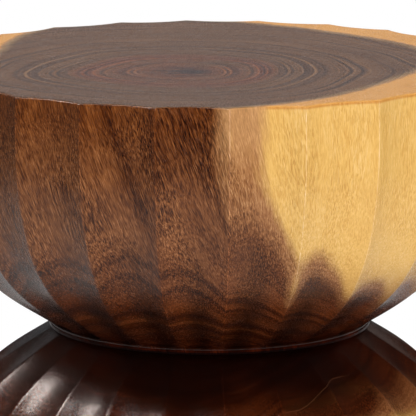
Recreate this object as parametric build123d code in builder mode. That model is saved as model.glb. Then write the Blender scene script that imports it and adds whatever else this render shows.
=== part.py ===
from build123d import *
from math import cos, pi, sin
import os

# Hourglass drum table: two fluted bowls carved from one hardwood log, set waist to waist on a thin turned
# disc, pegged against turning and drawn together by one long bolt. All sizes are in millimetres.
# The origin is on the floor, on the axis that the flutes run round; +Z is up.

# Overall form
TABLE_HEIGHT = 460
RIM_RADIUS = 250  # over the arrises, at the table top and at the base
WAIST_RADIUS = 138  # over the arrises, where each bowl meets the disc
DISC_THICKNESS = 4
GLIDE_STAND = 3  # height at which the glides hold the base off the floor

# Side curve of a bowl, from its rim to its waist: one cubic with a handle at each end
RIM_HANDLE_LENGTH = 168  # along the axis, away from the rim
RIM_HANDLE_FLARE = 11  # outwards, which swells the belly just past the rim
WAIST_HANDLE_LENGTH = 31  # along the axis, away from the waist
WAIST_HANDLE_FLARE = 49  # outwards

# Flutes
FLUTE_COUNT = 24
FLUTE_DEPTH = 6  # below the chord between two arrises, at the rim; shallower as the bowl narrows
TEMPLATE_COUNT = 11  # outlines that the flutes are carved to, rim and waist included
RIM_ROUNDING = 2  # eased edge round the table top and round the base
RIM_ROUNDING_STEPS = 2  # flats that the easing is worked in

# Waist
COVE_RADIUS = 9  # hollow turned under the upper bowl, where its flutes end in scallops
COVE_NECK_RADIUS = 140
COVE_FLATS = 3  # cuts that the hollow is worked in
DISC_OVERHANG = 2.5  # bead of the disc, proud of the cove's neck
DISC_EDGE_CHAMFER = 1.2

# Draw bolt, its washer and the insert that it screws into
BOLT_RADIUS = 6
BOLT_CLEARANCE = 0.5
BOLT_HEAD_ACROSS_FLATS = 18
BOLT_HEAD_HEIGHT = 7.5
BOLT_POINT_CHAMFER = 1
BOLT_SOCKET_RADIUS = 20  # counterbore in the base, wide enough for a socket wrench
BOLT_SOCKET_DEPTH = 60
WASHER_RADIUS = 18.5
WASHER_THICKNESS = 3
INSERT_RADIUS = 10
INSERT_FLANGE_RADIUS = 14
INSERT_FLANGE_THICKNESS = 2.5
INSERT_LENGTH = 32
THREAD_FIT = 0.05
BOLT_TIP_ROOM = 6  # bore left beyond the insert, for the bolt's tip
PLUG_THICKNESS = 14  # turned plug that closes the socket, flush with the base

# Pegs that stop the bowls from turning on each other
PEG_COUNT = 3
PEG_CIRCLE_RADIUS = 85
PEG_RADIUS = 8
PEG_DEPTH = 36  # in each bowl
GLUE_GAP = 0.15
PEG_END_ROOM = 0.5

# Glides under the base, each held by one pan-head screw sunk in its face
GLIDE_COUNT = 4
GLIDE_CIRCLE_RADIUS = 205
GLIDE_FIRST_ANGLE = 45
GLIDE_RADIUS = 16
GLIDE_SEAT_DEPTH = 2
GLIDE_FLOOR_THICKNESS = 2  # under the screw's head, above the wood
SCREW_RADIUS = 2
SCREW_HEAD_RADIUS = 4
SCREW_HEAD_HEIGHT = 2.2
SCREW_GRIP = 20  # length of the shank in the wood
SCREW_FIT = 0.05

# Levels and bores that follow from the sizes above
base_level = GLIDE_STAND
bowl_height = (TABLE_HEIGHT - GLIDE_STAND - DISC_THICKNESS) / 2
disc_level = base_level + bowl_height
upper_waist_level = disc_level + DISC_THICKNESS
bolt_bore_radius = BOLT_RADIUS + BOLT_CLEARANCE
bolt_shoulder_level = base_level + BOLT_SOCKET_DEPTH
insert_top_level = upper_waist_level + INSERT_LENGTH
peg_bore_radius = PEG_RADIUS + GLUE_GAP
glide_seat_level = base_level + GLIDE_SEAT_DEPTH
screw_seat_level = glide_seat_level - GLIDE_FLOOR_THICKNESS
flute_pitch = 2 * pi / FLUTE_COUNT


def bowl_stations(rim_level, waist_level):
    """Arris radius and level of each carving template, from the rim to the waist."""
    down_the_bowl = 1 if waist_level > rim_level else -1
    side_curve = Bezier(
        (RIM_RADIUS, 0, rim_level),
        (RIM_RADIUS + RIM_HANDLE_FLARE, 0, rim_level + down_the_bowl * RIM_HANDLE_LENGTH),
        (WAIST_RADIUS + WAIST_HANDLE_FLARE, 0, waist_level - down_the_bowl * WAIST_HANDLE_LENGTH),
        (WAIST_RADIUS, 0, waist_level),
        mode=Mode.PRIVATE,
    )
    points = [side_curve @ (step / (TEMPLATE_COUNT - 1)) for step in range(TEMPLATE_COUNT)]
    return [(point.X, point.Z) for point in points]


def fluted_template(arris_radius, level):
    """One carving template: a closed ring of hollow arcs that meet in sharp arrises."""
    hollow_radius = arris_radius * (cos(flute_pitch / 2) - FLUTE_DEPTH / RIM_RADIUS)
    with BuildSketch(Plane.XY.offset(level)) as template:
        with BuildLine():
            for flute in range(FLUTE_COUNT):
                start = flute * flute_pitch
                middle = start + flute_pitch / 2
                end = start + flute_pitch
                ThreePointArc(
                    (arris_radius * cos(start), arris_radius * sin(start)),
                    (hollow_radius * cos(middle), hollow_radius * sin(middle)),
                    (arris_radius * cos(end), arris_radius * sin(end)),
                )
        make_face()
    return template.sketch.face()


def fluted_bowl(rim_level, waist_level):
    """Carve the flutes of one bowl through its templates; called inside the bowl's own BuildPart."""
    loft([fluted_template(radius, level) for radius, level in bowl_stations(rim_level, waist_level)])


def eased_rim(rim_level, outwards):
    """Quarter round along the rim of every flute, added beyond the level where the bowl stops."""
    turns = [pi / 2 * step / RIM_ROUNDING_STEPS for step in range(RIM_ROUNDING_STEPS + 1)]
    templates = [
        fluted_template(
            RIM_RADIUS - RIM_ROUNDING * (1 - cos(turn)),
            rim_level + outwards * RIM_ROUNDING * sin(turn),
        )
        for turn in turns
    ]
    loft(templates, ruled=True)


def peg_places():
    return PolarLocations(PEG_CIRCLE_RADIUS, PEG_COUNT)


def glide_places():
    return PolarLocations(GLIDE_CIRCLE_RADIUS, GLIDE_COUNT, start_angle=GLIDE_FIRST_ANGLE)


# Upper bowl: its rim face, all end grain, is the table top
with BuildPart() as upper_bowl:
    fluted_bowl(TABLE_HEIGHT - RIM_ROUNDING, upper_waist_level)
    eased_rim(TABLE_HEIGHT - RIM_ROUNDING, 1)

    # Cove under the flutes
    with BuildSketch(Plane.XZ):
        with BuildLine():
            cove_turns = [pi / 2 * step / COVE_FLATS for step in range(COVE_FLATS + 1)]
            cove_points = [
                (
                    COVE_NECK_RADIUS + COVE_RADIUS * (1 - cos(turn)),
                    upper_waist_level + COVE_RADIUS * sin(turn),
                )
                for turn in cove_turns
            ]
            Polyline(
                *cove_points,
                (RIM_RADIUS + RIM_HANDLE_FLARE, upper_waist_level + COVE_RADIUS),
                (RIM_RADIUS + RIM_HANDLE_FLARE, upper_waist_level),
                close=True,
            )
        make_face()
    revolve(axis=Axis.Z, mode=Mode.SUBTRACT)

    # Blind bores for the insert and the pegs
    with BuildSketch(Plane.XY.offset(upper_waist_level)):
        Circle(INSERT_FLANGE_RADIUS + GLUE_GAP)
    extrude(amount=INSERT_FLANGE_THICKNESS, mode=Mode.SUBTRACT)
    with BuildSketch(Plane.XY.offset(upper_waist_level)):
        Circle(INSERT_RADIUS + GLUE_GAP)
    extrude(amount=INSERT_LENGTH + BOLT_TIP_ROOM, mode=Mode.SUBTRACT)
    with BuildSketch(Plane.XY.offset(upper_waist_level)):
        with peg_places():
            Circle(peg_bore_radius)
    extrude(amount=PEG_DEPTH + PEG_END_ROOM, mode=Mode.SUBTRACT)
upper_bowl.part.label = "upper_bowl"

# Lower bowl: the same bowl upside down, standing on its rim
with BuildPart() as lower_bowl:
    fluted_bowl(base_level + RIM_ROUNDING, disc_level)
    eased_rim(base_level + RIM_ROUNDING, -1)

    # Bore for the draw bolt, with its socket in the base
    with BuildSketch(Plane.XY.offset(base_level)):
        Circle(BOLT_SOCKET_RADIUS)
    extrude(amount=BOLT_SOCKET_DEPTH, mode=Mode.SUBTRACT)
    with BuildSketch(Plane.XY.offset(base_level)):
        Circle(bolt_bore_radius)
    extrude(amount=bowl_height, mode=Mode.SUBTRACT)

    # Peg bores in the waist
    with BuildSketch(Plane.XY.offset(disc_level)):
        with peg_places():
            Circle(peg_bore_radius)
    extrude(amount=-(PEG_DEPTH + PEG_END_ROOM), mode=Mode.SUBTRACT)

    # Seats for the glides, and pilot bores for their screws
    with BuildSketch(Plane.XY.offset(base_level)):
        with glide_places():
            Circle(GLIDE_RADIUS + GLUE_GAP)
    extrude(amount=GLIDE_SEAT_DEPTH, mode=Mode.SUBTRACT)
    with BuildSketch(Plane.XY.offset(glide_seat_level)):
        with glide_places():
            Circle(SCREW_RADIUS + SCREW_FIT)
    extrude(amount=SCREW_GRIP, mode=Mode.SUBTRACT)
lower_bowl.part.label = "lower_bowl"

# Turned disc between the bowls: only the bead round its edge shows
with BuildPart() as waist_disc:
    with BuildSketch(Plane.XY.offset(disc_level)):
        Circle(COVE_NECK_RADIUS + DISC_OVERHANG)
        Circle(bolt_bore_radius, mode=Mode.SUBTRACT)
        with peg_places():
            Circle(peg_bore_radius, mode=Mode.SUBTRACT)
    extrude(amount=DISC_THICKNESS)
    bead_edges = waist_disc.edges().filter_by(GeomType.CIRCLE).group_by(SortBy.RADIUS)[-1]
    chamfer(bead_edges, DISC_EDGE_CHAMFER)
waist_disc.part.label = "waist_disc"

# Draw bolt: hexagon head against the washer, thread in the insert
with BuildPart() as draw_bolt:
    with BuildSketch(Plane.XY.offset(bolt_shoulder_level - WASHER_THICKNESS)):
        RegularPolygon(BOLT_HEAD_ACROSS_FLATS / 2, 6, major_radius=False)
    extrude(amount=-BOLT_HEAD_HEIGHT)
    with BuildSketch(Plane.XY.offset(bolt_shoulder_level - WASHER_THICKNESS)):
        Circle(BOLT_RADIUS)
    extrude(amount=insert_top_level - bolt_shoulder_level + WASHER_THICKNESS)
    chamfer(draw_bolt.faces().sort_by(Axis.Z)[-1].edges(), BOLT_POINT_CHAMFER)
draw_bolt.part.label = "draw_bolt"

with BuildPart() as bolt_washer:
    with BuildSketch(Plane.XY.offset(bolt_shoulder_level)):
        Circle(WASHER_RADIUS)
        Circle(bolt_bore_radius, mode=Mode.SUBTRACT)
    extrude(amount=-WASHER_THICKNESS)
bolt_washer.part.label = "bolt_washer"

# Plug that hides the bolt's socket
with BuildPart() as socket_plug:
    with BuildSketch(Plane.XY.offset(base_level)):
        Circle(BOLT_SOCKET_RADIUS - GLUE_GAP)
    extrude(amount=PLUG_THICKNESS)
socket_plug.part.label = "socket_plug"

# Flanged insert, let in flush with the waist of the upper bowl
with BuildPart() as threaded_insert:
    with BuildSketch(Plane.XY.offset(upper_waist_level)):
        Circle(INSERT_FLANGE_RADIUS)
    extrude(amount=INSERT_FLANGE_THICKNESS)
    with BuildSketch(Plane.XY.offset(upper_waist_level)):
        Circle(INSERT_RADIUS)
    extrude(amount=INSERT_LENGTH)
    with BuildSketch(Plane.XY.offset(upper_waist_level)):
        Circle(BOLT_RADIUS + THREAD_FIT)
    extrude(amount=INSERT_LENGTH, mode=Mode.SUBTRACT)
threaded_insert.part.label = "threaded_insert"

# One screw for each glide, all in one node
with BuildPart() as glide_screws:
    with BuildSketch(Plane.XY.offset(screw_seat_level)):
        with glide_places():
            Circle(SCREW_HEAD_RADIUS)
    extrude(amount=-SCREW_HEAD_HEIGHT)
    with BuildSketch(Plane.XY.offset(screw_seat_level)):
        with glide_places():
            Circle(SCREW_RADIUS)
    extrude(amount=glide_seat_level + SCREW_GRIP - screw_seat_level)
glide_screws.part.label = "glide_screws"

os.makedirs("parts", exist_ok=True)
hidden_pieces = (draw_bolt, bolt_washer, threaded_insert, socket_plug, glide_screws)
for piece in (upper_bowl, lower_bowl, waist_disc, *hidden_pieces):
    export_step(piece.part, f"parts/{piece.part.label}.step")

# Pegs and glides are one piece each
for number, place in enumerate(peg_places(), start=1):
    with BuildPart() as waist_peg:
        with BuildSketch(Plane(place).offset(disc_level - PEG_DEPTH)):
            Circle(PEG_RADIUS)
        extrude(amount=2 * PEG_DEPTH + DISC_THICKNESS)
    waist_peg.part.label = f"waist_peg_{number}"
    export_step(waist_peg.part, f"parts/{waist_peg.part.label}.step")

for number, place in enumerate(glide_places(), start=1):
    with BuildPart() as floor_glide:
        with BuildSketch(Plane(place)):
            Circle(GLIDE_RADIUS)
        extrude(amount=glide_seat_level)
        with BuildSketch(Plane(place)):
            Circle(SCREW_HEAD_RADIUS + SCREW_FIT)
        extrude(amount=screw_seat_level, mode=Mode.SUBTRACT)
        with BuildSketch(Plane(place)):
            Circle(SCREW_RADIUS + SCREW_FIT)
        extrude(amount=glide_seat_level, mode=Mode.SUBTRACT)
    floor_glide.part.label = f"floor_glide_{number}"
    export_step(floor_glide.part, f"parts/{floor_glide.part.label}.step")
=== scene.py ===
from math import atan2, cos, hypot, pi, radians, sin, sqrt

import bmesh
import bpy
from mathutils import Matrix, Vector


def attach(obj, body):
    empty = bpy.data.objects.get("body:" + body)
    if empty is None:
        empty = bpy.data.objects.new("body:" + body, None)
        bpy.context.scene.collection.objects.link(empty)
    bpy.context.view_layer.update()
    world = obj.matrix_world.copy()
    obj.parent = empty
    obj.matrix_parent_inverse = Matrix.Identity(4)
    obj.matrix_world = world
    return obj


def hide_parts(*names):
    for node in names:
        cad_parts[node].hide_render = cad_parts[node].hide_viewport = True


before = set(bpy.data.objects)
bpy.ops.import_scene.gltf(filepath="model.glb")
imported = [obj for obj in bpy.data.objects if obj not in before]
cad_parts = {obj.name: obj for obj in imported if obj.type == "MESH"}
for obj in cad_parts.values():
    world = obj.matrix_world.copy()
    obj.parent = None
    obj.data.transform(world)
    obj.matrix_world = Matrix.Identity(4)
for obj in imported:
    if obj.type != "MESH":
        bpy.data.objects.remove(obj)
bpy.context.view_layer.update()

# ---------------------------------------------------------------------------------------------------
# Upper bowl. One block of a monkeypod log with the grain upright, its brown heartwood off centre in
# pale sapwood. Twenty-four hollow flutes are carved down its side to a cove over the waist, and the
# end-grain top is sanded flat and lacquered with the rest.
# ---------------------------------------------------------------------------------------------------

TABLE_TOP = 0.460
UPPER_WAIST = 0.2335
RIM_RADIUS = 0.250
WAIST_RADIUS = 0.138
RIM_HANDLE = (0.011, 0.168)  # how far the side curve's handle flares out and runs on from the rim
WAIST_HANDLE = (0.049, 0.031)
RIM_ROUNDING = 0.002
RIM_STEPS = 4
RIM_BORDER = 0.003           # narrow flat ring between the rounding and the rim's face
FLUTE_COUNT = 24
FLUTE_DEPTH = 0.006
FLUTE_CUTS = 11
ARRIS_EASE = 0.0016
ARRIS_STEPS = 2
RING_COUNT = 46
COVE_LIP = 0.0004            # the step where the flutes end and the round cove begins
COVE_HEIGHT = 0.0025
COVE_TOP_RADIUS = 0.1412
COVE_NECK_RADIUS = 0.1402
COVE_LEAN = 0.4              # share of the cove's fall that comes early
COVE_STEPS = 7
GOUGE_WAVE = 0.055
GOUGE_DEPTH = 0.0016
GOUGE_STOP = 0.006           # the gouge stays this far off the rim
RUB_AND_HIGHLIGHT_WIDTH = 0.0006           # to each side of an arris
EDGE_MARGIN = 0.001          # left alone at a rim or a waist
CARVED_FROM = 0.11           # the carved side is farther from the axis than this, the waist's bores nearer
DRILL_RUN = 0.01             # how far a drill starts outside the wood
DRILL_SIDES = 40
PEG_CIRCLE = 0.085
PEG_COUNT = 3
PEG_BORE = 0.00815
PEG_DEPTH = 0.0365
INSERT_BORE = 0.01015
INSERT_DEPTH = 0.038
FLANGE_BORE = 0.01415
FLANGE_DEPTH = 0.0025
BOWL_CREASE = 33             # degrees; edges sharper than this stay crisp
SAME_LEVEL = 1e-5            # how near counts as the same where vertices are picked
SAME_PLACE = 0.001

# How far the arrises wander from even spacing, in degrees, from the one on -X round the front
ARRIS_WANDER = (0.16, 0.34, 0.99, 0.17, 0.01, 0.1, -0.72, -0.9, -0.19, 0.53, 0.65, 0.29,
                -0.3, 0.2, 0.5, -0.2, -0.6, 0.1, 0.4, -0.3, 0.2, -0.5, 0.3, 0.1)


def side_curve(share, rim_level, waist_level):
    """Arris radius and level on the carver's side curve, from 0 at the rim to 1 at the waist."""
    onwards = 1 if waist_level > rim_level else -1
    radii = (RIM_RADIUS, RIM_RADIUS + RIM_HANDLE[0], WAIST_RADIUS + WAIST_HANDLE[0], WAIST_RADIUS)
    levels = (rim_level, rim_level + onwards * RIM_HANDLE[1],
              waist_level - onwards * WAIST_HANDLE[1], waist_level)
    left = 1 - share
    weights = (left ** 3, 3 * left ** 2 * share, 3 * left * share ** 2, share ** 3)
    return (sum(w * r for w, r in zip(weights, radii)), sum(w * z for w, z in zip(weights, levels)))


def curve_share_at(level, rim_level, waist_level):
    """Share of the side curve that has been run when it reaches a level."""
    low, high = 0.0, 1.0
    for _ in range(40):
        middle = (low + high) / 2
        passed = side_curve(middle, rim_level, waist_level)[1]
        if (passed > level) == (rim_level > waist_level):
            low = middle
        else:
            high = middle
    return low


def even_steps(reach, count):
    """From 0 to a reach in even steps, both ends included."""
    return [reach * step / count for step in range(count + 1)]


def circle_places(radius, count, first=0):
    """Places spread evenly round the axis, the first at an angle in degrees from +X."""
    turns = [radians(first) + 2 * pi * number / count for number in range(count)]
    return [(radius * cos(turn), radius * sin(turn)) for turn in turns]


def pick(piece, wanted):
    """In edit mode, select the vertices whose place passes a test, with the edges and faces between them."""
    bpy.ops.mesh.select_mode(type="VERT")
    bpy.ops.mesh.select_all(action="DESELECT")
    shape = bmesh.from_edit_mesh(piece.data)
    for vert in shape.verts:
        vert.select_set(wanted(vert.co))
    shape.select_flush(True)
    bmesh.update_edit_mesh(piece.data)


def pick_level(piece, level):
    """In edit mode, select the ring at a level."""
    pick(piece, lambda place: abs(place.z - level) < SAME_LEVEL)


def arris_turns(wander):
    """Direction of each arris, in radians from +X, in rising order."""
    pitch = 360 / FLUTE_COUNT
    return sorted(radians((180 + pitch * number + drift) % 360) for number, drift in enumerate(wander))


def reach_into_flute(place, turns):
    """0 on an arris to 1 at the middle of a flute, for a point on a straight chord between two arrises."""
    turn = atan2(place.y, place.x) % (2 * pi)
    after = next((n for n, arris in enumerate(turns) if arris > turn + 1e-9), 0)
    ends = [(cos(turns[n]), sin(turns[n])) for n in (after - 1, after)]
    chord = hypot(ends[1][0] - ends[0][0], ends[1][1] - ends[0][1])
    middle = ((ends[0][0] + ends[1][0]) / 2, (ends[0][1] + ends[1][1]) / 2)
    along = (ends[1][0] - ends[0][0]) / chord, (ends[1][1] - ends[0][1]) / chord
    facing = middle[0] / hypot(*middle), middle[1] / hypot(*middle)
    sideways = (place.x * along[0] + place.y * along[1]) / (place.x * facing[0] + place.y * facing[1])
    return 1 - min(1.0, abs(sideways) * 2 * hypot(*middle) / chord)


def begin_fluted_ring(name, level, turns, flute_depth=FLUTE_DEPTH, easing=ARRIS_EASE, steps=ARRIS_STEPS):
    """Draw one ring of hollow flutes round the axis: a polygon of arrises, its chords cut and pushed in."""
    bpy.ops.mesh.primitive_circle_add(vertices=FLUTE_COUNT, radius=RIM_RADIUS, fill_type="NOTHING")
    ring = bpy.context.object
    ring.name = name
    bpy.ops.object.mode_set(mode="EDIT")
    pitch = 2 * pi / FLUTE_COUNT
    for turn in turns:
        even = round(turn / pitch) * pitch
        spot = (RIM_RADIUS * cos(even), RIM_RADIUS * sin(even))
        pick(ring, lambda place: hypot(place.x - spot[0], place.y - spot[1]) < SAME_PLACE)
        bpy.ops.transform.translate(value=(RIM_RADIUS * cos(turn) - spot[0],
                                           RIM_RADIUS * sin(turn) - spot[1], 0))
    bpy.ops.mesh.select_all(action="SELECT")
    bpy.ops.mesh.subdivide(number_cuts=FLUTE_CUTS)
    half_chord = sin(pitch / 2)
    depth = flute_depth / RIM_RADIUS
    arc = (half_chord ** 2 + depth ** 2) / (2 * depth)
    column_pitch = 2 / (FLUTE_CUTS + 1)
    for column in range(1, FLUTE_CUTS // 2 + 2):
        reach = column * column_pitch
        hollow = sqrt(arc ** 2 - ((1 - reach) * half_chord) ** 2) - (arc - depth)
        pick(ring, lambda place: abs(reach_into_flute(place, turns) - reach) < column_pitch / 5)
        inwards = 1 - hollow / cos(pitch / 2)
        bpy.ops.transform.resize(value=(inwards, inwards, 1), center_override=(0, 0, 0))
    pick(ring, lambda place: hypot(place.x, place.y) > RIM_RADIUS - SAME_PLACE / 2)
    bpy.ops.mesh.bevel(offset=easing, segments=steps, affect="VERTICES")
    bpy.ops.mesh.select_all(action="SELECT")
    bpy.ops.transform.translate(value=(0, 0, level))
    return ring


def draw_through(points):
    """Extrude the selected ring from the first of some (radius, level) points to each of the others."""
    for (radius_was, level_was), (radius, level) in zip(points, points[1:]):
        bpy.ops.mesh.extrude_region_move(TRANSFORM_OT_translate={"value": (0, 0, level - level_was)})
        scale = radius / radius_was
        bpy.ops.transform.resize(value=(scale, scale, 1), center_override=(0, 0, level))


def carve_side(rim_level, waist_level, end_share):
    """Run the selected ring along the side curve; gives the radius and level where it ends."""
    points = [side_curve(share, rim_level, waist_level) for share in even_steps(end_share, RING_COUNT)]
    draw_through(points)
    return points[-1]


def ease_rim(piece, rim_level, outwards):
    """Quarter round over the rim, then a flat face that closes it."""
    pick_level(piece, rim_level)
    points = [(RIM_RADIUS - RIM_ROUNDING * (1 - cos(turn)), rim_level + outwards * RIM_ROUNDING * sin(turn))
              for turn in even_steps(pi / 2, RIM_STEPS)]
    draw_through([*points, (points[-1][0] - RIM_BORDER, points[-1][1])])
    bpy.ops.mesh.edge_face_add()


def leave_edit():
    """Turn every face outwards and go back to object mode."""
    bpy.ops.mesh.select_all(action="SELECT")
    bpy.ops.mesh.normals_make_consistent(inside=False)
    bpy.ops.object.mode_set(mode="OBJECT")


def hand_waviness(piece, bounds):
    """The gouge leaves the side very slightly uneven, and always inside the marked line."""
    side = piece.vertex_groups.new(name="carved")
    side.add([v.index for v in piece.data.vertices if bounds[0] < v.co.z < bounds[1]], 1.0, "REPLACE")
    clouds = bpy.data.textures.new(piece.name + "_gouge", "CLOUDS")
    clouds.noise_scale = GOUGE_WAVE
    clouds.noise_depth = 1
    wave = piece.modifiers.new("gouge", "DISPLACE")
    wave.texture = clouds
    wave.texture_coords = "LOCAL"
    wave.vertex_group = "carved"
    wave.strength = GOUGE_DEPTH
    wave.mid_level = 1.0
    bpy.ops.object.modifier_apply(modifier="gouge")
    bpy.data.textures.remove(clouds)
    piece.vertex_groups.clear()


def cut_out(piece, tool):
    """Take a tool's shape out of a piece, and put the tool away."""
    bpy.context.view_layer.objects.active = piece
    cut = piece.modifiers.new("cut", "BOOLEAN")
    cut.operation = "DIFFERENCE"
    cut.solver = "EXACT"
    cut.object = tool
    bpy.ops.object.modifier_apply(modifier="cut")
    bpy.data.objects.remove(tool)


def bore(piece, radius, bottom, top, places=((0, 0),), sides=DRILL_SIDES):
    """Drill plain holes into a piece, from one level to another."""
    for x, y in places:
        bpy.ops.mesh.primitive_cylinder_add(vertices=sides, radius=radius, depth=top - bottom,
                                            location=(x, y, (bottom + top) / 2))
        cut_out(piece, bpy.context.object)


def mark_arrises(piece, turns, rims):
    """Store where the edges get wear and a painted highlight: 1 along each arris, 0 between."""
    wear_and_highlight = piece.data.attributes.new("rubbed_and_highlit", "FLOAT", "POINT")
    for vert in piece.data.vertices:
        radius = hypot(vert.co.x, vert.co.y)
        turn = atan2(vert.co.y, vert.co.x) % (2 * pi)
        nearest = min(abs((turn - arris + pi) % (2 * pi) - pi) for arris in turns)
        on_arris = nearest * RIM_RADIUS < RUB_AND_HIGHLIGHT_WIDTH and radius > CARVED_FROM
        on_side = rims[0] < vert.co.z < rims[1]
        wear_and_highlight.data[vert.index].value = 1.0 if on_arris and on_side else 0.0


def make_active(piece):
    """Select one piece alone, as the one that the next tool works on."""
    bpy.ops.object.select_all(action="DESELECT")
    piece.select_set(True)
    bpy.context.view_layer.objects.active = piece


def smooth(piece, crease):
    """Shade a piece smooth, with edges sharper than the crease, in degrees, left crisp."""
    make_active(piece)
    bpy.ops.object.shade_smooth_by_angle(angle=radians(crease))


PEG_PLACES = circle_places(PEG_CIRCLE, PEG_COUNT)
upper_turns = arris_turns(ARRIS_WANDER)
rounding_level = TABLE_TOP - RIM_ROUNDING
upper_bowl = begin_fluted_ring("upper_bowl_carved", rounding_level, upper_turns)
lip_share = curve_share_at(UPPER_WAIST + COVE_HEIGHT, rounding_level, UPPER_WAIST)
lip_level = carve_side(rounding_level, UPPER_WAIST, lip_share)[1]
cove_top = lip_level - COVE_LIP
# Below the flutes the ring is made a true circle and drawn down the cove
bpy.ops.mesh.extrude_region_move(TRANSFORM_OT_translate={"value": (0, 0, -COVE_LIP)})
bpy.ops.transform.tosphere(value=1, center_override=(0, 0, cove_top))
round_now = bmesh.from_edit_mesh(upper_bowl.data)
scale = COVE_TOP_RADIUS / max(hypot(v.co.x, v.co.y) for v in round_now.verts if v.select)
bpy.ops.transform.resize(value=(scale, scale, 1), center_override=(0, 0, lip_level))
draw_through([(COVE_TOP_RADIUS - (COVE_TOP_RADIUS - COVE_NECK_RADIUS) * sin(turn),
               UPPER_WAIST + (cove_top - UPPER_WAIST)
               * (1 - COVE_LEAN * sin(turn) - (1 - COVE_LEAN) * (1 - cos(turn))))
              for turn in even_steps(pi / 2, COVE_STEPS)])
bpy.ops.mesh.edge_face_add()
ease_rim(upper_bowl, rounding_level, 1)
leave_edit()
hand_waviness(upper_bowl, (lip_level + EDGE_MARGIN, TABLE_TOP - GOUGE_STOP))
bore(upper_bowl, PEG_BORE, UPPER_WAIST - DRILL_RUN, UPPER_WAIST + PEG_DEPTH, PEG_PLACES)
bore(upper_bowl, INSERT_BORE, UPPER_WAIST - DRILL_RUN, UPPER_WAIST + INSERT_DEPTH)
bore(upper_bowl, FLANGE_BORE, UPPER_WAIST - DRILL_RUN, UPPER_WAIST + FLANGE_DEPTH)
mark_arrises(upper_bowl, upper_turns, (lip_level, TABLE_TOP - EDGE_MARGIN))
smooth(upper_bowl, BOWL_CREASE)
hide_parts("upper_bowl")
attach(upper_bowl, "root")


# ---------------------------------------------------------------------------------------------------
# The wood of the log, shared by the bowls, the disc and the plug, worked out from the place in the log
# alone: rings round an off-centre pith, heartwood that ends in an uneven outline, upright fibres, and
# pores that show as dashes on the side and as specks on end grain.
# Painted shade, a painted sheen, a painted reflection and painted highlights are laid over it.
# ---------------------------------------------------------------------------------------------------

LOG_RADIUS = 0.25
GRAIN_LEAN = 0.34            # metres sideways for each metre down
GRAIN_LEANS_FROM = 0.455     # level where the leaning fibres start
PITH = (-0.0315, -0.0440, 0.0)
WAIST_MIDDLE = 0.2315
BOWL_REACH = 0.2285          # from the middle of the disc to the top, and to the base
# Outline of the heartwood at the two ends of the log: a mean, then a size and a turn for each wave round it
HEART_MEAN = 0.9052
HEART_WAVES = ((1, 0.086, 77.9), (2, 0.1162, 31.2), (3, 0.0708, 111.8), (4, 0.0219, -75.2))
NOTCHED_ARRIS = 13.9         # degrees to the right of the front
DARK_STREAK_X = -0.104
DARK_STREAK_SHARPNESS = 170.0
# Where the painted reflection of the upper bowl's edge crosses the lower bowl
PAINTED_REFLECTION_LEVELS = (0.1893, 0.2073)  # at its left and right ends
PAINTED_REFLECTION_WIDTHS = (0.0001, 0.0005)  # where it starts to fade, and where it is gone
RAY_DENSITY = (46.0, 46.0, 0.0)     # how close the rays stand round the pith
RAY_BREAKS = 5.0                    # how soon a ray ends on its way out
RED_TINT = (1.22, 0.76, 0.58, 1)
RIM_TINT = (0.75, 0.52, 0.34, 1)
PAINTED_REFLECTION_COLOUR = (0.13, 0.045, 0.020, 1)
NO_TINT = (1, 1, 1, 1)


def add_node(tree, kind, values=None, **settings):
    """Add a node; a value that is an output gets linked."""
    made = tree.nodes.new(kind)
    for name, value in settings.items():
        setattr(made, name, value)
    for socket, value in (values or {}).items():
        if isinstance(value, bpy.types.NodeSocket):
            tree.links.new(value, made.inputs[socket])
        else:
            made.inputs[socket].default_value = value
    return made


def reckon(tree, operation, *terms, clamp=False):
    """Sum on numbers."""
    return add_node(tree, "ShaderNodeMath", dict(enumerate(terms)),
                    operation=operation, use_clamp=clamp).outputs[0]


def reckon_places(tree, operation, *terms):
    """The same sum on each coordinate of a place."""
    return add_node(tree, "ShaderNodeVectorMath", dict(enumerate(terms)), operation=operation).outputs[0]


def times(tree, value, *others):
    """Product of two or more values."""
    for other in others:
        value = reckon(tree, "MULTIPLY", value, other)
    return value


def times_plus(tree, value, factor, added, clamp=False):
    """Product of two values, and a third added."""
    return reckon(tree, "MULTIPLY_ADD", value, factor, added, clamp=clamp)


def mixture(tree, start, *parts):
    """A start value with others added; each part is a value and its share."""
    for value, share in parts:
        start = times_plus(tree, value, share, start)
    return start


def larger(tree, first, second):
    """The larger of two values."""
    return reckon(tree, "MAXIMUM", first, second)


def ease(tree, value, low, high, to_low=0.0, to_high=1.0):
    """Smooth step of a value between two limits."""
    return add_node(tree, "ShaderNodeMapRange", {0: value, 1: low, 2: high, 3: to_low, 4: to_high},
                    interpolation_type="SMOOTHSTEP").outputs[0]


def coordinates(tree, place):
    """The x, y and z outputs of a place."""
    return add_node(tree, "ShaderNodeSeparateXYZ", {0: place}).outputs


def ramp(tree, value, *stops):
    """Colour ramp from (position, red, green, blue) stops."""
    made = add_node(tree, "ShaderNodeValToRGB", {0: value})
    band = made.color_ramp
    while len(band.elements) < len(stops):
        band.elements.new(0.5)
    for element, (position, *colour) in zip(band.elements, stops):
        element.position = position
        element.color = (*colour, 1)
    return made.outputs[0]


def blend_colours(tree, share, first, second, how="MIX"):
    """First colour turned into the second by a share."""
    return add_node(tree, "ShaderNodeMix", {0: share, 6: first, 7: second},
                    data_type="RGBA", blend_type=how).outputs[2]


def tinted(tree, colour, tint, share=1.0):
    """Colour multiplied by a tint, in full or by a share."""
    return blend_colours(tree, share, colour, tint, "MULTIPLY")


def specks(tree, place, stretch, detail, roughness):
    """Noise from 0 to 1 over a place that is stretched first."""
    moved = reckon_places(tree, "MULTIPLY", place, stretch)
    return add_node(tree, "ShaderNodeTexNoise", {"Vector": moved, "Scale": 1.0, "Detail": detail,
                                                 "Roughness": roughness}).outputs[0]


def centred(tree, noise):
    """Noise moved to run from -0.5 to 0.5."""
    return reckon(tree, "SUBTRACT", noise, 0.5)


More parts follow.
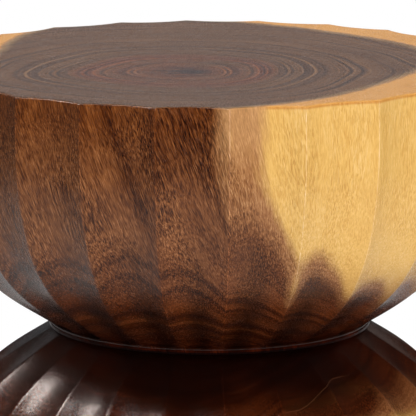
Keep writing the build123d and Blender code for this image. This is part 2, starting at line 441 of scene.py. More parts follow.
def bands(tree, distance, count, detail, roughness):
    """Centred noise along one distance."""
    noise = add_node(tree, "ShaderNodeTexNoise", {"W": distance, "Scale": count, "Detail": detail,
                                                  "Roughness": roughness}, noise_dimensions="1D")
    return centred(tree, noise.outputs[0])


def ray_place(tree, around, outwards):
    """Place for noise that runs out from the pith in thin rays."""
    spread = reckon_places(tree, "MULTIPLY", around, RAY_DENSITY)
    along = add_node(tree, "ShaderNodeCombineXYZ", {2: times(tree, outwards, RAY_BREAKS)}).outputs[0]
    return reckon_places(tree, "ADD", spread, along)


def jitter(tree, place, stretch, reach):
    """Move a place about by noise."""
    moved = reckon_places(tree, "MULTIPLY", place, stretch)
    noise = add_node(tree, "ShaderNodeTexNoise", {"Vector": moved, "Scale": 1.0, "Detail": 1.0}).outputs[1]
    noise = reckon_places(tree, "SUBTRACT", noise, (0.5, 0.5, 0.5))
    return reckon_places(tree, "ADD", place, reckon_places(tree, "MULTIPLY", noise, reach))


def log_wood():
    """Node group: place in the log, facing and the edges with wear and a painted highlight in; colour,
    roughness and height out.
    """
    tree = bpy.data.node_groups.new("log_wood", "ShaderNodeTree")
    for name, way, kind in (("Place", "INPUT", "Vector"), ("Facing", "INPUT", "Vector"),
                            ("Rubbed_and_highlit", "INPUT", "Float"), ("Colour", "OUTPUT", "Color"),
                            ("Roughness", "OUTPUT", "Float"), ("Height", "OUTPUT", "Float")):
        tree.interface.new_socket(name, in_out=way, socket_type="NodeSocket" + kind)
    given = tree.nodes.new("NodeGroupInput").outputs
    place = given["Place"]
    x, y, z = coordinates(tree, place)
    turn = reckon(tree, "ARCTAN2", x, times(tree, y, -1.0))
    radius = reckon(tree, "SQRT", reckon(tree, "ADD", times(tree, x, x), times(tree, y, y)))
    radius = reckon(tree, "DIVIDE", radius, LOG_RADIUS)
    from_waist = reckon(tree, "ABSOLUTE", reckon(tree, "SUBTRACT", z, WAIST_MIDDLE))
    from_waist = reckon(tree, "DIVIDE", from_waist, BOWL_REACH)
    lower = reckon(tree, "LESS_THAN", z, WAIST_MIDDLE)
    upper = reckon(tree, "SUBTRACT", 1.0, lower)

    def round_log(low, high, first=0.0, last=1.0):
        """Smooth step between two directions, in degrees from the front."""
        return ease(tree, turn, radians(low), radians(high), first, last)

    def up_bowl(low, high, first=0.0, last=1.0):
        """Smooth step between two shares of the way from the waist to a rim."""
        return ease(tree, from_waist, low, high, first, last)

    upright = reckon(tree, "ABSOLUTE", coordinates(tree, given["Facing"])[2])
    end_grain = ease(tree, upright, 0.55, 0.97)
    side = reckon(tree, "SUBTRACT", 1.0, end_grain)
    sawn = times(tree, end_grain, up_bowl(0.80, 0.97))

    # The grain wavers, and on one side of the log it leans
    slow = jitter(tree, place, (6.0, 6.0, 6.0), (0.045, 0.045, 0.0))
    curly = jitter(tree, place, (24.0, 24.0, 34.0), (0.0045, 0.0045, 0.0))
    sideways = times(tree, ease(tree, x, -0.03, 0.10, GRAIN_LEAN, 0.0),
                     reckon(tree, "SUBTRACT", z, GRAIN_LEANS_FROM))
    sideways = add_node(tree, "ShaderNodeCombineXYZ", {0: sideways}).outputs[0]
    leaning = reckon_places(tree, "ADD", curly, sideways)

    # Heartwood outline; near the waist it is fuller, and notched where the arrises dip into it
    outline = HEART_MEAN
    for wave, size, shift in HEART_WAVES:
        swing = reckon(tree, "COSINE", times_plus(tree, turn, float(wave), radians(shift)))
        outline = times_plus(tree, swing, size, outline)
    fuller = reckon(tree, "ADD", round_log(14, 20, 0.0, 0.016), round_log(28, 46, 0.0, 0.04))
    fuller = mixture(tree, fuller, (times(tree, lower, 0.010), round_log(44, 60)),
                     (times(tree, upper, -0.020), round_log(52, 62)))
    fuller = times(tree, fuller, round_log(90, 140, 1.0, 0.0), up_bowl(0.42, 0.62, 1.0, 0.0),
                   up_bowl(0.12, 0.24))
    notch = times_plus(tree, turn, float(FLUTE_COUNT), radians(-FLUTE_COUNT * NOTCHED_ARRIS))
    notch = times_plus(tree, reckon(tree, "COSINE", notch), 0.5, 0.5)
    notch = times(tree, reckon(tree, "POWER", notch, 3.0), round_log(17, 27, 0.08, 0.03), round_log(5, 10),
                  round_log(48, 53, 1.0, 0.0), up_bowl(0.22, 0.42, 1.0, 0.0), upper)
    outline = reckon(tree, "SUBTRACT", reckon(tree, "ADD", outline, fuller), notch)
    ragged = centred(tree, specks(tree, leaning, (90.0, 90.0, 8.0), 3.0, 0.6))
    ragged = times(tree, ragged, up_bowl(0.3, 0.7, 0.012, 0.026))
    inside = reckon(tree, "ADD", reckon(tree, "SUBTRACT", outline, radius), ragged)
    inside = times(tree, inside, up_bowl(0.45, 0.75, 1.25, 1.0))

    # Growth rings round the pith
    pith_offset = reckon_places(tree, "SUBTRACT", slow, PITH)
    pith_offset = reckon_places(tree, "MULTIPLY", pith_offset, (1.0, 1.0, 0.0))
    pith_distance = add_node(tree, "ShaderNodeVectorMath", {0: pith_offset}, operation="LENGTH").outputs[1]
    pith_distance = reckon(tree, "DIVIDE", pith_distance, LOG_RADIUS)
    broad_rings = bands(tree, pith_distance, 11.0, 2.0, 0.5)
    dark_rings = bands(tree, pith_distance, 27.0, 2.0, 0.6)
    fine_rings = bands(tree, pith_distance, 85.0, 1.0, 0.5)

    def off_pith(low, high, first=0.0, last=1.0):
        """Smooth step between two distances from the pith, as shares of the log's radius."""
        return ease(tree, pith_distance, low, high, first, last)

    # Fibres, long streaks, short dark pores, and the log's broad figure
    open_grain = ease(tree, specks(tree, leaning, (34.0, 34.0, 7.0), 1.0, 0.5), 0.38, 0.58, 0.75, 1.2)
    fibres = centred(tree, specks(tree, leaning, (860.0, 860.0, 80.0), 2.0, 0.7))
    fibres = times(tree, fibres, open_grain)
    streaks = centred(tree, specks(tree, leaning, (85.0, 85.0, 4.5), 2.0, 0.6))
    pores = ease(tree, specks(tree, leaning, (1150.0, 1150.0, 125.0), 1.0, 0.5), 0.47, 0.60)
    pores = times(tree, pores, open_grain)
    lumps = specks(tree, place, (520.0, 520.0, 340.0), 2.0, 0.6)
    figure = centred(tree, specks(tree, place, (16.0, 16.0, 14.0), 2.0, 0.5))

    # Dark rays round the pith, with a ragged spot on it
    around = reckon_places(tree, "NORMALIZE", pith_offset)
    rays = specks(tree, ray_place(tree, around, pith_distance), (1.0, 1.0, 1.0), 2.0, 0.6)
    rays = times(tree, ease(tree, rays, 0.60, 0.70), off_pith(0.20, 0.55, 1.0, 0.0))
    spot = ease(tree, specks(tree, place, (30.0, 110.0, 0.0), 3.0, 0.6), 0.42, 0.56)
    spot = times(tree, spot, off_pith(0.03, 0.15, 1.0, 0.0))
    checks = larger(tree, rays, spot)

    # One dark streak down the front of the upper bowl, left of the middle
    dark_streak = reckon(tree, "SUBTRACT", coordinates(tree, leaning)[0], DARK_STREAK_X)
    dark_streak = reckon(tree, "POWER", times(tree, dark_streak, DARK_STREAK_SHARPNESS), 2.0)
    dark_streak = times(tree, reckon(tree, "EXPONENT", times(tree, dark_streak, -1.0)),
                        ease(tree, y, -0.05, 0.0, 1.0, 0.0), ease(tree, z, 0.30, 0.34), side,
                        times_plus(tree, streaks, 3.0, 1.0, clamp=True))

    # Tone: 0 dark to 1 light
    ringed = times(tree, up_bowl(0.26, 0.50, 1.0, 0.0), times_plus(tree, lower, -0.6, 1.0),
                   times_plus(tree, figure, 4.0, 0.9, clamp=True))
    shadow = times(tree, ease(tree, inside, 0.04, 0.06), ease(tree, inside, 0.08, 0.13, 1.0, 0.0),
                   up_bowl(0.55, 0.85))
    tone = mixture(tree, 0.63, (broad_rings, 0.4),
                   (dark_rings, mixture(tree, 0.10, (sawn, 0.60), (ringed, 0.85))),
                   (fine_rings, mixture(tree, 0.20, (sawn, 1.1), (ringed, 0.20))),
                   (fibres, times_plus(tree, side, 1.25, 0.15)), (figure, 0.22),
                   (streaks, times(tree, side, 0.35)), (pores, times_plus(tree, side, -0.20, -0.05)),
                   (dark_streak, -0.26), (times(tree, checks, sawn), -0.75),
                   (shadow, times(tree, side, -0.17)))

    # Heartwood, with painted shade: darker towards the waist, and on the lower bowl darkest in the middle of
    # the front
    heart = ramp(tree, tone, (0.0, 0.020, 0.004, 0.001), (0.3, 0.070, 0.018, 0.004),
                 (0.55, 0.165, 0.053, 0.015), (0.85, 0.31, 0.118, 0.040), (1.0, 0.42, 0.18, 0.07))
    # Painted shade towards the waist; near the rims the warmer, darker tone is painted where the sheen fades
    painted_shade_by_height = ramp(tree, from_waist, (0.022, 0.12, 0.055, 0.035), (0.034, 0.20, 0.10, 0.07),
                     (0.22, 0.42, 0.28, 0.20), (0.38, 0.76, 0.69, 0.66), (0.55, 1.0, 1.0, 1.0),
                     (0.80, 1.0, 0.95, 0.85), (0.93, 0.87, 0.70, 0.40))
    # Painted shade on the lower bowl under the overhang, deepest at the front
    off_centre = ease(tree, reckon(tree, "ABSOLUTE", turn), radians(30), radians(60))
    lower_painted_shade = blend_colours(tree, off_centre, (0.16, 0.11, 0.14, 1), (0.6, 0.42, 0.34, 1))
    off_waist = ease(tree, times_plus(tree, figure, 0.25, from_waist), 0.07, 0.26)
    lower_painted_shade = blend_colours(tree, off_waist, lower_painted_shade, (0.78, 0.62, 0.52, 1))
    painted_shade_by_height = tinted(tree, painted_shade_by_height, lower_painted_shade, times(tree, lower, up_bowl(0.25, 0.60, 1.0, 0.0)))
    heart = tinted(tree, heart, blend_colours(tree, sawn, painted_shade_by_height, NO_TINT))

    # Painted shade: by the waist, the side of each flute that faces away from the front is darkened
    drift = round_log(-25, 12, 2 * pi * 0.74, 2 * pi * 0.30)
    painted_flute_shade = reckon(tree, "SUBTRACT", times(tree, turn, float(FLUTE_COUNT)), drift)
    painted_flute_shade = times_plus(tree, reckon(tree, "COSINE", painted_flute_shade), -0.5, -0.05)
    painted_flute_shade = times(tree, painted_flute_shade, upper, up_bowl(0.17, 0.32, 0.9, 0.35))
    painted_flute_shade = times_plus(tree, painted_flute_shade, up_bowl(0.32, 0.60, 1.0, 0.0), 1.0)
    heart = tinted(tree, heart, painted_flute_shade)

    # A redder ring and heart show on the end grain
    ring = times(tree, off_pith(0.24, 0.30), off_pith(0.32, 0.38, 1.0, 0.0))
    core = times(tree, ease(tree, figure, -0.16, 0.06), off_pith(0.20, 0.34, 0.75, 0.0))
    thin_ring = times(tree, off_pith(0.288, 0.302), off_pith(0.304, 0.322, 1.0, 0.0))
    redder = times_plus(tree, thin_ring, 0.8, times(tree, larger(tree, ring, core), 0.85))
    heart = tinted(tree, heart, RED_TINT, times(tree, redder, sawn))

    # Sapwood, with a darker line round the rim, and painted shade towards the waist
    sap_tone = mixture(tree, 0.56, (fibres, times_plus(tree, side, 0.50, 0.05)),
                       (pores, times_plus(tree, side, -0.15, -0.02)), (figure, 0.4), (streaks, 0.25))
    sap = ramp(tree, sap_tone, (0.05, 0.40, 0.18, 0.045), (0.3, 0.66, 0.35, 0.085),
               (0.55, 0.79, 0.47, 0.135), (0.85, 0.86, 0.57, 0.24))
    sap_painted_shade = blend_colours(tree, up_bowl(0.12, 0.38), (0.34, 0.22, 0.16, 1), NO_TINT)
    rim_line = times(tree, up_bowl(0.984, 0.992), times_plus(tree, sawn, -0.8, 0.8))
    sap = tinted(tree, tinted(tree, sap, sap_painted_shade), RIM_TINT, rim_line)

    # The tan edge between the two, with painted shade towards the waist; and the cut ends, which drink more
    # of the finish, with a painted grey sheen over their heartwood
    edge = ramp(tree, tone, (0.1, 0.13, 0.045, 0.012), (0.5, 0.37, 0.155, 0.055), (0.9, 0.62, 0.33, 0.14))
    edge = blend_colours(tree, up_bowl(0.72, 0.95, 0.0, 0.35), edge, (0.72, 0.40, 0.16, 1))
    edge_shade = blend_colours(tree, up_bowl(0.55, 0.9), (0.8, 0.74, 0.7, 1), NO_TINT)
    edge = tinted(tree, tinted(tree, edge, edge_shade), sap_painted_shade)
    fringe = up_bowl(0.42, 0.62, -0.040, -0.012)
    colour = blend_colours(tree, ease(tree, inside, fringe, 0.008), sap, edge)
    colour = blend_colours(tree, ease(tree, inside, 0.004, 0.052), colour, heart)
    # Cut-end tint: on the sapwood the finish soaking in, on the heartwood a painted grey sheen
    ends = blend_colours(tree, ease(tree, inside, -0.01, 0.02),
                         (0.71, 0.56, 0.45, 1), (0.465, 0.53, 0.56, 1))
    colour = tinted(tree, colour, ends, sawn)

    # Arrises paler from wear, dotted by the pores; the paling is also a painted highlight, pushed past any
    # real wood colour on the sapwood
    rubbed_and_highlit = times(tree, ease(tree, given["Rubbed_and_highlit"], 0.45, 1.0), times_plus(tree, pores, -0.6, 0.95))
    wear_and_highlight = blend_colours(tree, ease(tree, inside, -0.01, 0.03), (1.14, 1.30, 2.1, 1), (1.75, 1.75, 1.9, 1))
    colour = tinted(tree, colour, wear_and_highlight, rubbed_and_highlit)

    # A painted reflection: a pale line over the shoulder of the lower bowl, where the upper bowl's edge
    # shows in the lacquer
    painted_edge_reflection = reckon(tree, "SUBTRACT", z, round_log(18, 34, *PAINTED_REFLECTION_LEVELS))
    painted_edge_reflection = ease(tree, reckon(tree, "ABSOLUTE", painted_edge_reflection), *PAINTED_REFLECTION_WIDTHS, 0.32, 0.0)
    painted_edge_reflection = times(tree, painted_edge_reflection, round_log(13, 17), round_log(36, 41, 1.0, 0.0))
    colour = blend_colours(tree, painted_edge_reflection, colour, PAINTED_REFLECTION_COLOUR)

    out = tree.nodes.new("NodeGroupOutput").inputs
    tree.links.new(colour, out["Colour"])
    rough = times_plus(tree, fibres, 0.25, ease(tree, z, 0.18, 0.26, 0.11, 0.25))
    tree.links.new(rough, out["Roughness"])
    height = times(tree, times_plus(tree, pores, -0.5, fibres), times_plus(tree, lower, -0.22, 0.4))
    lumpy = times(tree, 0.3, reckon(tree, "SUBTRACT", 1.0, sawn))
    tree.links.new(times_plus(tree, lumps, lumpy, height), out["Height"])
    return tree


wood_group = log_wood()


def new_material(name):
    """A plain material; gives it with its node tree and the place on the piece."""
    material = bpy.data.materials.new(name)
    material.use_nodes = True
    tree = material.node_tree
    return material, tree, add_node(tree, "ShaderNodeTexCoord").outputs["Object"]


def dress(material, colour, roughness, height, depth, plain=None):
    """Link the looks to the shader, with a relief of some depth; plain values go on its own sockets."""
    tree = material.node_tree
    shader = tree.nodes["Principled BSDF"]
    relief = add_node(tree, "ShaderNodeBump", {"Height": height, "Distance": depth}).outputs[0]
    for socket, value in (("Base Color", colour), ("Roughness", roughness), ("Normal", relief)):
        tree.links.new(value, shader.inputs[socket])
    for socket, value in (plain or {}).items():
        shader.inputs[socket].default_value = value


def lacquered(name, relief_depth=0.0008, stain=None, gloss=0.4, coat=0.12):
    """Log wood under clear satin lacquer."""
    material, tree, place = new_material(name)
    facing = add_node(tree, "ShaderNodeNewGeometry").outputs["Normal"]
    rubbed_and_highlit = add_node(tree, "ShaderNodeAttribute", attribute_name="rubbed_and_highlit").outputs["Fac"]
    wood = add_node(tree, "ShaderNodeGroup", node_tree=wood_group)
    for socket, value in (("Place", place), ("Facing", facing), ("Rubbed_and_highlit", rubbed_and_highlit)):
        tree.links.new(value, wood.inputs[socket])
    colour = tinted(tree, wood.outputs["Colour"], stain) if stain else wood.outputs["Colour"]
    dress(material, colour, wood.outputs["Roughness"], wood.outputs["Height"], relief_depth,
          {"Specular IOR Level": gloss, "Coat Weight": coat, "Coat Roughness": 0.16})
    return material


bowl_lacquer = lacquered("bowl_wood_lacquered")
upper_bowl.data.materials.append(bowl_lacquer)

# ---------------------------------------------------------------------------------------------------
# Lower bowl. The next block down the same log, carved to the same side curve and stood on its rim.
# Its flutes are deepest on the shoulder and run out shallow below the disc; the base has the wrench
# socket and four seats for the glides.
# ---------------------------------------------------------------------------------------------------

BASE = 0.003
LOWER_WAIST = 0.2295
DEEP_FLUTE = 0.0074
ROUND_ARRIS = 0.0040
ROUND_ARRIS_STEPS = 4
# How far the hollow is filled out again, from 0 to 1, at levels from the base to the waist
FILLED_OUT = ((0.0, 0.19), (0.155, 0.19), (0.186, 0.0), (0.200, 0.10), (0.222, 0.60), (0.230, 0.65))
FILL_WIDENS = 0.02           # share that a ring gains in radius where it is filled right out
DISC_SEAT = 0.002            # left plain under the disc
# How much farther this bowl's arrises wander, in degrees
LOWER_WANDER = (1.0, 1.25, 0.48, 0.95, -0.17, -0.98, 0, 0, 0, -0.44, -0.18, -0.41,
                0.3, 0.1, -0.4, 0.2, 0.3, -0.2, 0.5, -0.1, -0.3, 0.4, 0.1, 0.6)
SOCKET_RADIUS = 0.02
SOCKET_DEPTH = 0.06
BOLT_BORE = 0.0065
GLIDE_CIRCLE = 0.205
GLIDE_COUNT = 4
FIRST_GLIDE = 45             # degrees from +X
GLIDE_SEAT_RADIUS = 0.01615
GLIDE_SEAT_DEPTH = 0.002
SCREW_HOLE = 0.00205
SCREW_HOLE_DEPTH = 0.022
SCREW_HOLE_SIDES = 16

GLIDE_PLACES = circle_places(GLIDE_CIRCLE, GLIDE_COUNT, FIRST_GLIDE)
lower_turns = arris_turns([a + b for a, b in zip(ARRIS_WANDER, LOWER_WANDER)])
rounding_level = BASE + RIM_ROUNDING
lower_bowl = begin_fluted_ring("lower_bowl_carved", rounding_level, lower_turns, DEEP_FLUTE,
                               ROUND_ARRIS, ROUND_ARRIS_STEPS)
carve_side(rounding_level, LOWER_WAIST, 1.0)
for share in even_steps(1.0, RING_COUNT):
    level = side_curve(share, rounding_level, LOWER_WAIST)[1]
    (below, first), (above, last) = next(pair for pair in zip(FILLED_OUT, FILLED_OUT[1:])
                                         if level <= pair[1][0])
    fill = first + (last - first) * (level - below) / (above - below)
    pick_level(lower_bowl, level)
    bpy.ops.transform.tosphere(value=fill, center_override=(0, 0, level))
    scale = 1 + FILL_WIDENS * fill
    bpy.ops.transform.resize(value=(scale, scale, 1), center_override=(0, 0, level))
bpy.ops.mesh.edge_face_add()
ease_rim(lower_bowl, rounding_level, -1)
leave_edit()
hand_waviness(lower_bowl, (BASE + GOUGE_STOP, LOWER_WAIST - DISC_SEAT))
bore(lower_bowl, SOCKET_RADIUS, BASE - DRILL_RUN, BASE + SOCKET_DEPTH)
bore(lower_bowl, BOLT_BORE, BASE + SOCKET_DEPTH - DRILL_RUN, LOWER_WAIST + DRILL_RUN)
bore(lower_bowl, PEG_BORE, LOWER_WAIST - PEG_DEPTH, LOWER_WAIST + DRILL_RUN, PEG_PLACES)
bore(lower_bowl, GLIDE_SEAT_RADIUS, BASE - DRILL_RUN, BASE + GLIDE_SEAT_DEPTH, GLIDE_PLACES)
bore(lower_bowl, SCREW_HOLE, BASE - DRILL_RUN, BASE + SCREW_HOLE_DEPTH, GLIDE_PLACES, SCREW_HOLE_SIDES)
mark_arrises(lower_bowl, lower_turns, (BASE + EDGE_MARGIN, LOWER_WAIST - EDGE_MARGIN))
lower_bowl.data.materials.append(bowl_lacquer)
smooth(lower_bowl, BOWL_CREASE)
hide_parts("lower_bowl")
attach(lower_bowl, "root")

# ---------------------------------------------------------------------------------------------------
# Waist disc. A thin round of the same wood turned on a lathe and glued between the bowls; only the
# half-round bead of its edge stands out of the cove. Its stain is redder, and it has no shine.
# ---------------------------------------------------------------------------------------------------

DISC_RADIUS = 0.1406
DISC_SIDES = 128
BEAD_STEPS = 8
BEAD_FULLNESS = 0.7          # 1 is a true half round; less is squarer
DISC_CREASE = 40


def turned(name, profile, sides, hollow=False, crease=35):
    """Turn a piece on the axis: one ring drawn from point to point of its profile, then closed."""
    bpy.ops.mesh.primitive_circle_add(vertices=sides, radius=profile[0][0],
                                      fill_type="NOTHING" if hollow else "NGON", location=(0, 0, 0))
    piece = bpy.context.object
    piece.name = name
    bpy.ops.object.mode_set(mode="EDIT")
    bpy.ops.mesh.select_all(action="SELECT")
    bpy.ops.transform.translate(value=(0, 0, profile[0][1]))
    draw_through([*profile, profile[0]] if hollow else profile)
    bpy.ops.mesh.select_all(action="SELECT")
    bpy.ops.mesh.remove_doubles(threshold=0.000001)
    leave_edit()
    smooth(piece, crease)
    return piece


bead_profile = [(COVE_NECK_RADIUS + (DISC_RADIUS - COVE_NECK_RADIUS) * sin(turn) ** BEAD_FULLNESS,
                 LOWER_WAIST + (UPPER_WAIST - LOWER_WAIST) * (1 - cos(turn)) / 2)
                for turn in even_steps(pi, BEAD_STEPS)]
waist_disc = turned("waist_disc_turned", bead_profile, DISC_SIDES, crease=DISC_CREASE)
bore(waist_disc, BOLT_BORE, LOWER_WAIST - DRILL_RUN, UPPER_WAIST + DRILL_RUN)
bore(waist_disc, PEG_BORE, LOWER_WAIST - DRILL_RUN, UPPER_WAIST + DRILL_RUN, PEG_PLACES)
disc_stain = lacquered("disc_wood_stained", stain=(1.0, 0.72, 0.6, 1), gloss=0.04, coat=0.0)
waist_disc.data.materials.append(disc_stain)
smooth(waist_disc, DISC_CREASE)
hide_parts("waist_disc")
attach(waist_disc, "root")

# ---------------------------------------------------------------------------------------------------
# Floor glides. Four nylon buttons let into the base near its rim, each moulded with a sunk seat for the
# screw that holds it. They lift the base off the floor by three millimetres.
# ---------------------------------------------------------------------------------------------------

GLIDE_RADIUS = 0.016
GLIDE_HEIGHT = 0.005
SCREW_SEAT = 0.003
HEAD_HOLE = 0.00405


def copy_to(piece, place, name):
    """A copy with its own mesh, moved inside the mesh."""
    make_active(piece)
    bpy.ops.object.duplicate()
    copy = bpy.context.object
    copy.name = name
    bpy.ops.object.mode_set(mode="EDIT")
    bpy.ops.mesh.select_all(action="SELECT")
    bpy.ops.transform.translate(value=(place[0], place[1], 0))
    bpy.ops.object.mode_set(mode="OBJECT")
    return copy


nylon, tree, spot = new_material("glide_nylon_moulded")
cloud = specks(tree, spot, (260.0, 260.0, 260.0), 3.0, 0.55)
scuffs = ease(tree, specks(tree, spot, (900.0, 160.0, 900.0), 2.0, 0.6), 0.55, 0.70)
tint = ramp(tree, cloud, (0.3, 0.62, 0.57, 0.48), (0.7, 0.74, 0.70, 0.62))
dress(nylon, blend_colours(tree, times(tree, scuffs, 0.35), tint, (0.42, 0.37, 0.30, 1)),
      times_plus(tree, scuffs, 0.25, 0.38), times_plus(tree, scuffs, -0.6, cloud), 0.00008)

button_profile = ((HEAD_HOLE, 0.0002), (0.0046, 0.0), (0.0134, 0.0), (0.0147, 0.0004), (0.0156, 0.0012),
                  (GLIDE_RADIUS, 0.0022), (GLIDE_RADIUS, 0.0046), (0.0157, GLIDE_HEIGHT),
                  (SCREW_HOLE, GLIDE_HEIGHT), (SCREW_HOLE, SCREW_SEAT), (HEAD_HOLE, SCREW_SEAT))
glide = turned("floor_glide", button_profile, sides=48, hollow=True)
glide.data.materials.append(nylon)
for number, place in enumerate(GLIDE_PLACES, start=1):
    button = copy_to(glide, place, "floor_glide_moulded_%d" % number)
    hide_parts("floor_glide_%d" % number)
    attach(button, "root")
bpy.data.objects.remove(glide)

# ---------------------------------------------------------------------------------------------------
# Glide screws. Zinc-plated pan-head wood screws with a cross recess, one up through each glide into
# the base. The thread is rolled into the shank and ends in a gimlet point.
# ---------------------------------------------------------------------------------------------------

HEAD_FACE = 0.0008
HEAD_RADIUS = 0.004
SHANK_RADIUS = 0.002
THREAD_ROOT = 0.0014
THREAD_PITCH = 0.0012
THREAD_FROM = 0.0062
THREAD_TO = 0.022
SCREW_TIP = 0.025
RECESS = (0.0042, 0.0009, 0.0022)

steel, tree, spot = new_material("steel_zinc_plated")
bloom = specks(tree, spot, (420.0, 420.0, 420.0), 3.0, 0.6)
turning = specks(tree, spot, (300.0, 300.0, 2600.0), 1.0, 0.5)
tint = ramp(tree, bloom, (0.3, 0.46, 0.45, 0.42), (0.6, 0.66, 0.65, 0.62), (0.8, 0.72, 0.69, 0.60))
dress(steel, tint, times_plus(tree, bloom, 0.35, 0.16), turning, 0.00002, {"Metallic": 1.0})

thread = [(THREAD_ROOT, THREAD_FROM)]
while thread[-1][1] + THREAD_PITCH < THREAD_TO:
    level = thread[-1][1]
    thread += [(SHANK_RADIUS, level + THREAD_PITCH / 2), (THREAD_ROOT, level + THREAD_PITCH)]
screw_profile = ((0.0024, HEAD_FACE), (0.0033, HEAD_FACE + 0.0003), (0.0038, HEAD_FACE + 0.0008),
                 (HEAD_RADIUS, HEAD_FACE + 0.0014), (HEAD_RADIUS, SCREW_SEAT), (SHANK_RADIUS, SCREW_SEAT),
                 (SHANK_RADIUS, THREAD_FROM - 0.0004), *thread, (0.0009, SCREW_TIP - 0.0012),
                 (0.00005, SCREW_TIP))
screw = turned("glide_screw", screw_profile, sides=24)
for turn in (0, pi / 2):
    bpy.ops.mesh.primitive_cube_add(size=1, scale=RECESS, location=(0, 0, HEAD_FACE), rotation=(0, 0, turn))
    cut_out(screw, bpy.context.object)
screw.data.materials.append(steel)
screws = [copy_to(screw, place, "glide_screws_plated") for place in GLIDE_PLACES]
bpy.data.objects.remove(screw)
make_active(screws[0])
for one in screws:
    one.select_set(True)
bpy.ops.object.join()
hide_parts("glide_screws")
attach(screws[0], "root")

# ---------------------------------------------------------------------------------------------------
# Socket plug. A short turned plug of the same log, pressed and glued into the wrench socket, flush with
# the base. Its lower edge is eased with sandpaper.
# ---------------------------------------------------------------------------------------------------

PLUG_RADIUS = 0.01985
PLUG_TOP = BASE + 0.014
PLUG_EASE = 0.0010
PLUG_ROUND = 0.0003

plug_profile = ((PLUG_RADIUS - PLUG_EASE, BASE), (PLUG_RADIUS - PLUG_ROUND, BASE + PLUG_ROUND),
                (PLUG_RADIUS, BASE + PLUG_EASE), (PLUG_RADIUS, PLUG_TOP - PLUG_EASE),
                (PLUG_RADIUS - PLUG_EASE, PLUG_TOP))
plug = turned("socket_plug_turned", plug_profile, sides=64)
plug.data.materials.append(lacquered("plug_wood_sanded", 0.0004, (0.9, 0.82, 0.75, 1)))
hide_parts("socket_plug")
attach(plug, "root")


# ---------------------------------------------------------------------------------------------------
# Draw bolt and washer. A hexagon-head bolt of zinc-plated steel pulls the bowls together from the base;
# the washer spreads its pull on the floor of the socket. Both are hidden, and keep their plain solids.
# ---------------------------------------------------------------------------------------------------

def coat_solid(name, material):
    """Give a hidden piece a material and leave it its plain solid."""
    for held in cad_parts[name].material_slots:
        held.material = material


coat_solid("draw_bolt", steel)
coat_solid("bolt_washer", steel)

# ---------------------------------------------------------------------------------------------------
# Threaded insert. A flanged bush of turned brass, driven into the waist of the upper bowl; the draw
# bolt screws into it. It is dull with tarnish, and fine tool marks run round it.
# ---------------------------------------------------------------------------------------------------

brass, tree, spot = new_material("insert_brass_turned")
tarnish = specks(tree, spot, (180.0, 180.0, 180.0), 3.0, 0.6)
turning = specks(tree, spot, (120.0, 120.0, 3000.0), 1.0, 0.5)
tint = ramp(tree, tarnish, (0.35, 0.48, 0.33, 0.12), (0.6, 0.72, 0.53, 0.24), (0.8, 0.78, 0.60, 0.30))
dress(brass, tint, times_plus(tree, turning, 0.25, 0.18), turning, 0.00002, {"Metallic": 1.0})
coat_solid("threaded_insert", brass)

# ---------------------------------------------------------------------------------------------------
# Waist pegs. Three beech dowels, glued halfway into each bowl through the disc, so the bowls can't turn
# on each other. Pale straight wood with short dark flecks, left bare.
# ---------------------------------------------------------------------------------------------------

beech, tree, spot = new_material("peg_beech_bare")
grain = specks(tree, spot, (700.0, 700.0, 45.0), 3.0, 0.6)
flecks = ease(tree, specks(tree, spot, (1500.0, 1500.0, 220.0), 1.0, 0.5), 0.62, 0.70)
tint = ramp(tree, grain, (0.3, 0.52, 0.34, 0.20), (0.7, 0.68, 0.48, 0.31))
dress(beech, blend_colours(tree, times(tree, flecks, 0.6), tint, (0.26, 0.13, 0.06, 1)),
      times_plus(tree, grain, 0.2, 0.5), grain, 0.0001)
for number in range(1, PEG_COUNT + 1):
    coat_solid("waist_peg_%d" % number, beech)

# ---------------------------------------------------------------------------------------------------
# Studio. A grey floor that fades into white away from the table, a white background, soft boxes round
# the table, and a long lens just above the level of the table top.
# ---------------------------------------------------------------------------------------------------

FLOOR_RADIUS = 1.3
FLOOR_GREY = 0.48
FLOOR_SIDES = 96
FADE = (0.32, 0.80)          # where the floor starts to fade and where it is white
WHITE = (1, 1, 1, 1)
AIR_STRENGTH = 0.35

bpy.ops.mesh.primitive_circle_add(vertices=FLOOR_SIDES, radius=FLOOR_RADIUS, fill_type="NGON",
                                  location=(0, 0, 0))
floor = bpy.context.object
floor.name = "floor"
floor_paint, tree, spot = new_material("floor_paint")
floor.data.materials.append(floor_paint)
paint = tree.nodes["Principled BSDF"]
paint.inputs["Base Color"].default_value = (FLOOR_GREY, FLOOR_GREY, FLOOR_GREY, 1)
paint.inputs["Roughness"].default_value = 0.6
paint.inputs["Specular IOR Level"].default_value = 0.2
away = add_node(tree, "ShaderNodeVectorMath", {0: spot}, operation="LENGTH").outputs[1]
seen = add_node(tree, "ShaderNodeLightPath").outputs["Is Camera Ray"]
white = add_node(tree, "ShaderNodeEmission", {"Color": WHITE, "Strength": 1.0}).outputs[0]
both = add_node(tree, "ShaderNodeMixShader", {0: times(tree, ease(tree, away, *FADE), seen),
                                              1: paint.outputs[0], 2: white}).outputs[0]
tree.links.new(both, tree.nodes["Material Output"].inputs["Surface"])

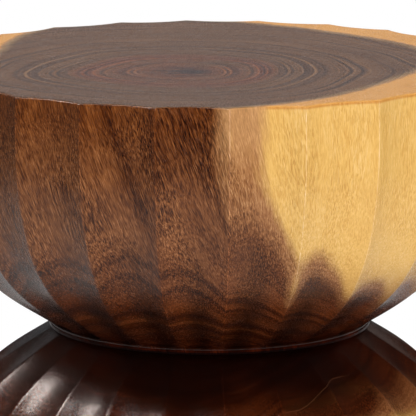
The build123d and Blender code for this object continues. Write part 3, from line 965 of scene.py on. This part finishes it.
# Glossy rays see a dim room: lighter low down behind the table, and towards its left
world = bpy.data.worlds.new("studio")
bpy.context.scene.world = world
world.use_nodes = True
tree = world.node_tree
tree.nodes.clear()
rays = add_node(tree, "ShaderNodeLightPath").outputs
by_camera = rays["Is Camera Ray"]
right, back, up = coordinates(tree, add_node(tree, "ShaderNodeTexCoord").outputs["Generated"])
behind = times(tree, ease(tree, back, 0.92, 0.965, 0.0, 0.60), ease(tree, up, 0.0, 0.08),
               ease(tree, up, 0.08, 0.24, 1.0, 0.0), ease(tree, right, -0.12, -0.04, 0.35, 1.0),
               ease(tree, right, 0.20, 0.28, 1.0, 0.7))
leftwards = ease(tree, times(tree, right, -1.0), 0.35, 0.9, 0.03, 0.18)
brightness = larger(tree, reckon(tree, "ADD", behind, leftwards), by_camera)
cool_share = larger(tree, by_camera, ease(tree, back, 0.955, 0.98))
tint = blend_colours(tree, cool_share, (1, 0.74, 0.62, 1), (0.94, 1, 1.06, 1))
tint = blend_colours(tree, by_camera, tint, WHITE)
wall = add_node(tree, "ShaderNodeBackground", {"Color": tint, "Strength": brightness}).outputs[0]
air = add_node(tree, "ShaderNodeBackground", {"Color": WHITE, "Strength": AIR_STRENGTH}).outputs[0]
shown = larger(tree, by_camera, larger(tree, rays["Is Glossy Ray"], rays["Is Transmission Ray"]))
both = add_node(tree, "ShaderNodeMixShader", {0: shown, 1: air, 2: wall}).outputs[0]
tree.links.new(both, tree.nodes.new("ShaderNodeOutputWorld").inputs["Surface"])


def soft_box(name, place, aim, size, power, mirrored, lights_up=True, colour=(1, 1, 1)):
    """Area lamp; it shows in the lacquer if mirrored, and lights the wood itself if lights_up."""
    bpy.ops.object.light_add(type="AREA", location=place)
    lamp = bpy.context.object
    lamp.name = name
    lamp.data.shape = "RECTANGLE"
    lamp.data.size, lamp.data.size_y = size
    lamp.data.energy = power
    lamp.data.color = colour
    lamp.visible_glossy = mirrored
    lamp.visible_diffuse = lights_up
    lamp.rotation_euler = (Vector(aim) - Vector(place)).to_track_quat("-Z", "Y").to_euler()


soft_box("main_box", (-1.35, 0.46, 1.97), (-0.15, 0, 0.2), (0.85, 0.55), 34, True, False, (1, 0.87, 0.81))
soft_box("top_fill", (-0.3, 0.1, 2.4), (0, 0, 0.4), (1.2, 1.0), 17, False)
soft_box("overhead_strip", (-0.80, -0.40, 2.30), (-0.1, -0.15, 0.45), (0.9, 0.35), 9, True)
soft_box("back_fill", (0.1, 1.3, 2.3), (0, 0, 0.4), (1.6, 1.2), 38, False)
soft_box("back_box", (0.1, 1.3, 2.3), (0, 0, 0.4), (0.6, 0.4), 8, True)
soft_box("front_fill", (0.9, -2.9, 1.0), (0, 0, 0.3), (2.2, 1.0), 74, False)

CAMERA_PLACE = (-0.3390, -4.2514, 1.1256)
CAMERA_TILT = 79.442         # degrees up from straight down
CAMERA_TURN = -4.559
CAMERA_SHIFT = -0.0036
LENS_LENGTH = 429.42         # millimetres, as the film's width
FILM_WIDTH = 36

bpy.ops.object.camera_add(location=CAMERA_PLACE, rotation=(radians(CAMERA_TILT), 0, radians(CAMERA_TURN)))
camera = bpy.context.object
camera.data.sensor_width = FILM_WIDTH
camera.data.lens = LENS_LENGTH
camera.data.shift_x = CAMERA_SHIFT
camera.data.clip_end = 50
bpy.context.scene.camera = camera
bpy.context.scene.view_settings.view_transform = "Standard"
